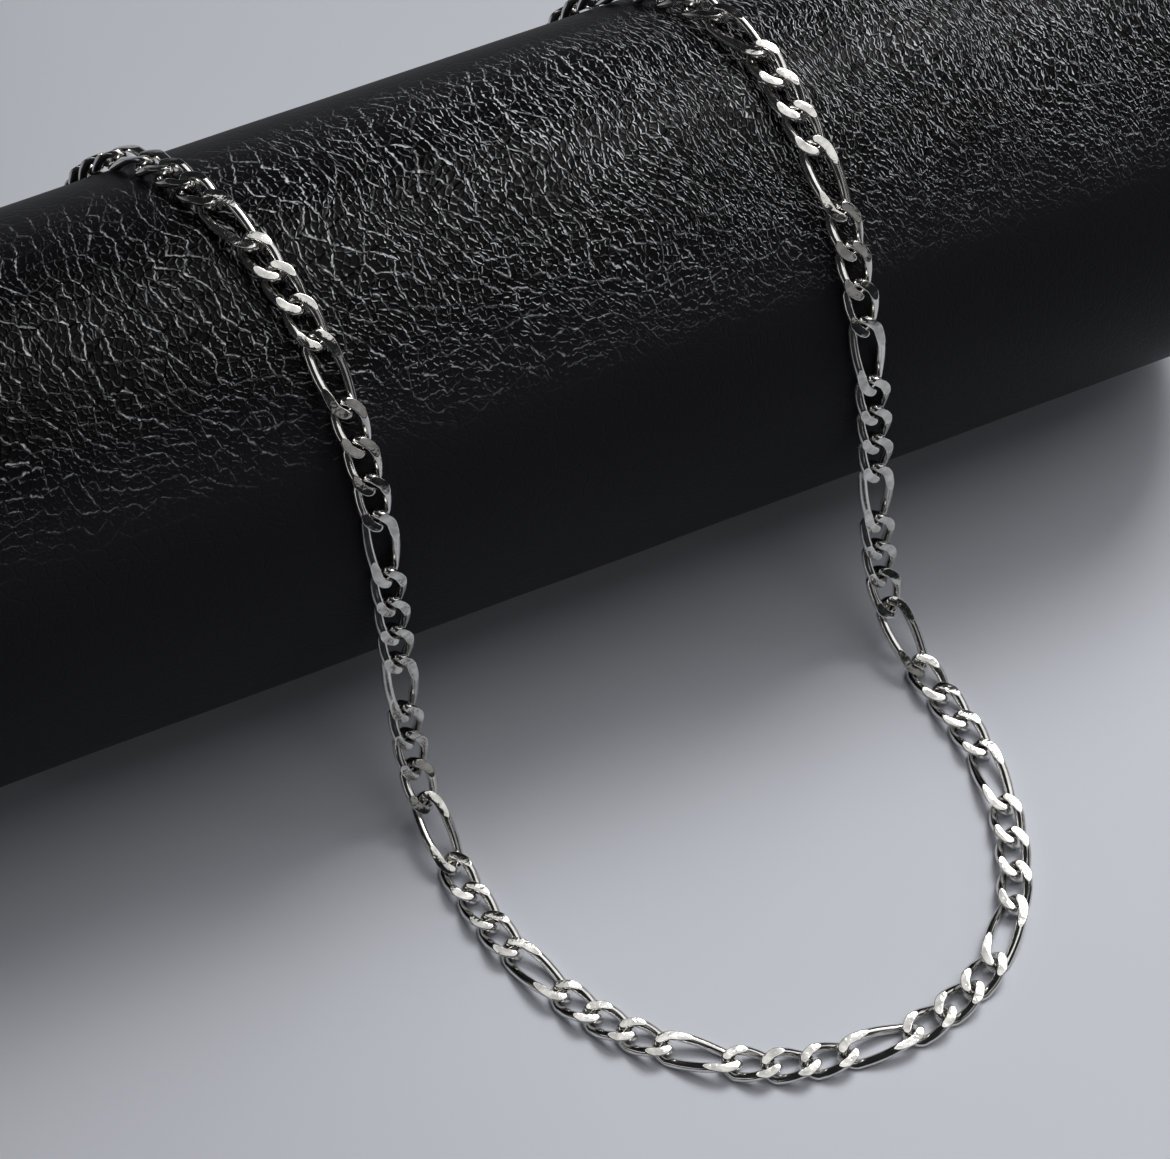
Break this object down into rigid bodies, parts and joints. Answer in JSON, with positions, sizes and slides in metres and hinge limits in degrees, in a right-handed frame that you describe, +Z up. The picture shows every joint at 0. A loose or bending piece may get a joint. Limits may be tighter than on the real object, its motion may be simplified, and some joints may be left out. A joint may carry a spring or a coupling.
{
  "type": "figaro chain necklace on leather display roll",
  "caption": "Closed necklace of flat figaro links with a clasp, draped over a padded leather display roll and laid out in front of it.",
  "frame": {"origin": "on the table under the middle of the display roll", "axes": "+X along the roll, -Y to the front where the chain lies on the table, +Z up"},
  "size_m": [0.2, 0.1484, 0.0749],
  "materials": {
    "leather": "pebbled, semi-gloss",
    "chain": "high polish",
    "fittings": "high polish"
  },
  "bodies": {
    "root": {"display_roll": "leather", "chain_left": "chain", "chain_right": "chain", "clasp_ring": "fittings", "lobster_clasp": "fittings", "end_ring": "fittings"}
  },
  "joints": []
}
